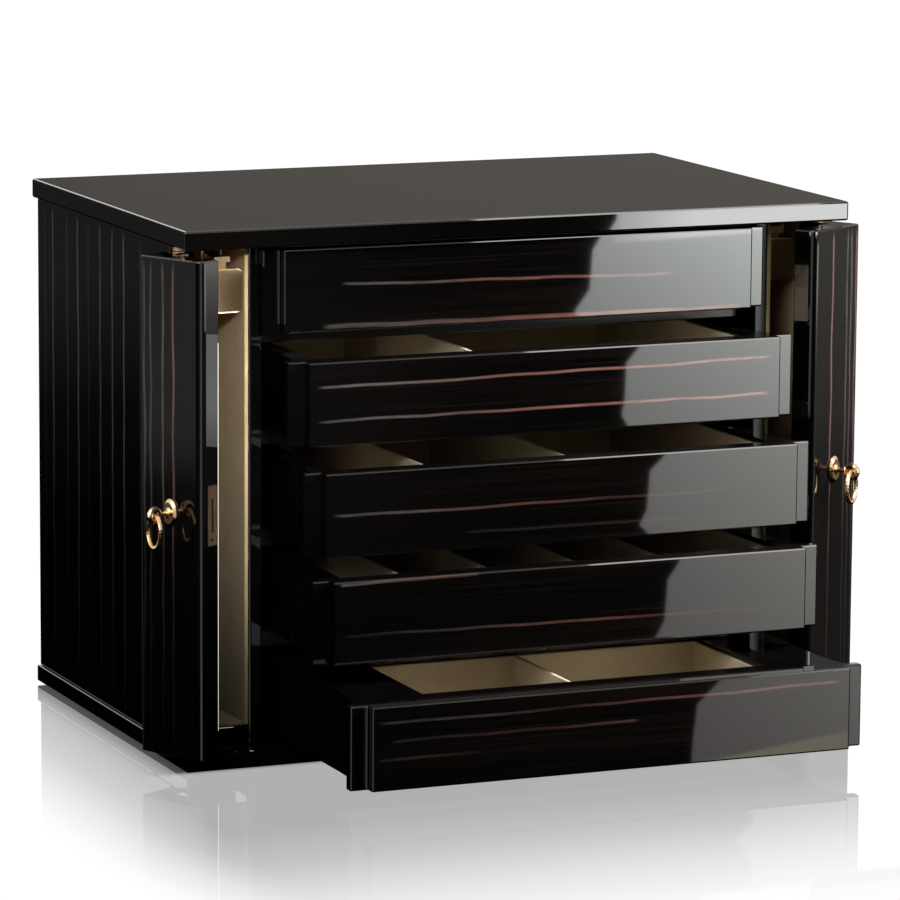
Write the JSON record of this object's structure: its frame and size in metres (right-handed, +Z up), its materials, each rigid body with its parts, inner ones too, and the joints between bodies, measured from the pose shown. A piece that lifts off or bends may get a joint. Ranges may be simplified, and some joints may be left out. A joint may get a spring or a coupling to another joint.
{
  "type": "jewelry chest",
  "caption": "Lacquered jewellery chest with full-width sliding drawers, narrow corner doors with ring pulls, and pull-out necklace hangers behind the doors.",
  "frame": {"origin": "middle of the footprint, on the underside of the base felt", "axes": "+X to the chest's right as seen from the front, the front faces -Y, +Z up"},
  "size_m": [0.4345, 0.3864, 0.3],
  "materials": {
    "beige_suede": "soft matt suede cloth",
    "black_felt": "matt felt",
    "black_lacquer": "high-gloss black lacquer",
    "gold_plate": "polished gold-coloured plate",
    "polished_brass": "polished",
    "striped_ebony_lacquer": "high-gloss lacquer over dark ebony veneer with fine lighter grain lines"
  },
  "bodies": {
    "cabinet": {"back_panel": "black_lacquer", "base_panel": "black_lacquer", "felt_pad": "black_felt", "left_lining": "beige_suede", "left_partition": "black_lacquer", "left_side": "striped_ebony_lacquer", "left_sill": "black_lacquer", "left_sill_pad": "beige_suede", "left_track": "polished_brass", "right_lining": "beige_suede", "right_partition": "black_lacquer", "right_side": "striped_ebony_lacquer", "right_sill": "black_lacquer", "right_sill_pad": "beige_suede", "right_track": "polished_brass", "shelf_1": "black_lacquer", "shelf_2": "black_lacquer", "shelf_3": "black_lacquer", "shelf_4": "black_lacquer", "shelf_5": "black_lacquer", "top_panel": "striped_ebony_lacquer"},
    "drawer_1": {"drawer_1_box": "black_lacquer", "drawer_1_front": "striped_ebony_lacquer", "drawer_1_tray": "beige_suede"},
    "drawer_2": {"drawer_2_box": "black_lacquer", "drawer_2_front": "striped_ebony_lacquer", "drawer_2_tray": "beige_suede"},
    "drawer_3": {"drawer_3_box": "black_lacquer", "drawer_3_front": "striped_ebony_lacquer", "drawer_3_tray": "beige_suede"},
    "drawer_4": {"drawer_4_box": "black_lacquer", "drawer_4_front": "striped_ebony_lacquer", "drawer_4_tray": "beige_suede"},
    "drawer_5": {"drawer_5_back_tray": "beige_suede", "drawer_5_box": "black_lacquer", "drawer_5_front": "striped_ebony_lacquer", "drawer_5_tray": "beige_suede"},
    "left_door": {"left_door": "striped_ebony_lacquer", "left_latch_plate": "polished_brass", "left_lower_pivot": "polished_brass", "left_pull_post": "polished_brass", "left_upper_pivot": "polished_brass"},
    "left_hanger": {"left_end_plate": "gold_plate", "left_hook_rail": "gold_plate"},
    "left_ring": {"left_ring": "polished_brass"},
    "right_door": {"right_door": "striped_ebony_lacquer", "right_latch_plate": "polished_brass", "right_lower_pivot": "polished_brass", "right_pull_post": "polished_brass", "right_upper_pivot": "polished_brass"},
    "right_hanger": {"right_end_plate": "gold_plate", "right_hook_rail": "gold_plate"},
    "right_ring": {"right_ring": "polished_brass"}
  },
  "joints": [
    {"name": "drawer_1_slide", "type": "slide", "parent": "cabinet", "child": "drawer_1", "axis": [0, -1, 0], "range_m": [0, 0.165]},
    {"name": "drawer_2_slide", "type": "slide", "parent": "cabinet", "child": "drawer_2", "axis": [0, -1, 0], "range_m": [-0.03795, 0.12705]},
    {"name": "drawer_3_slide", "type": "slide", "parent": "cabinet", "child": "drawer_3", "axis": [0, -1, 0], "range_m": [-0.06171, 0.10329]},
    {"name": "drawer_4_slide", "type": "slide", "parent": "cabinet", "child": "drawer_4", "axis": [0, -1, 0], "range_m": [-0.07425, 0.09075]},
    {"name": "drawer_5_slide", "type": "slide", "parent": "cabinet", "child": "drawer_5", "axis": [0, -1, 0], "range_m": [-0.13018, 0.03481]},
    {"name": "left_door_hinge", "type": "hinge", "parent": "cabinet", "child": "left_door", "pos_m": [-0.1935, -0.103, 0.14925], "axis": [0, 0, -1], "range_deg": [-63.5, 28.5]},
    {"name": "left_ring_hinge", "type": "hinge", "parent": "left_door", "child": "left_ring", "pos_m": [-0.22037, -0.13718, 0.1475], "axis": [-0.4462, 0.8949, 0], "range_deg": [-28, 90]},
    {"name": "left_hanger_slide", "type": "slide", "parent": "cabinet", "child": "left_hanger", "axis": [0, -1, 0], "range_m": [-0.015, 0.124]},
    {"name": "right_door_hinge", "type": "hinge", "parent": "cabinet", "child": "right_door", "pos_m": [0.1935, -0.103, 0.14925], "axis": [0, 0, 1], "range_deg": [-29.3, 62.7]},
    {"name": "right_ring_hinge", "type": "hinge", "parent": "right_door", "child": "right_ring", "pos_m": [0.19651, -0.14638, 0.1475], "axis": [-0.8721, -0.4894, 0], "range_deg": [-28, 90]},
    {"name": "right_hanger_slide", "type": "slide", "parent": "cabinet", "child": "right_hanger", "axis": [0, -1, 0], "range_m": [0, 0.024]}
  ]
}
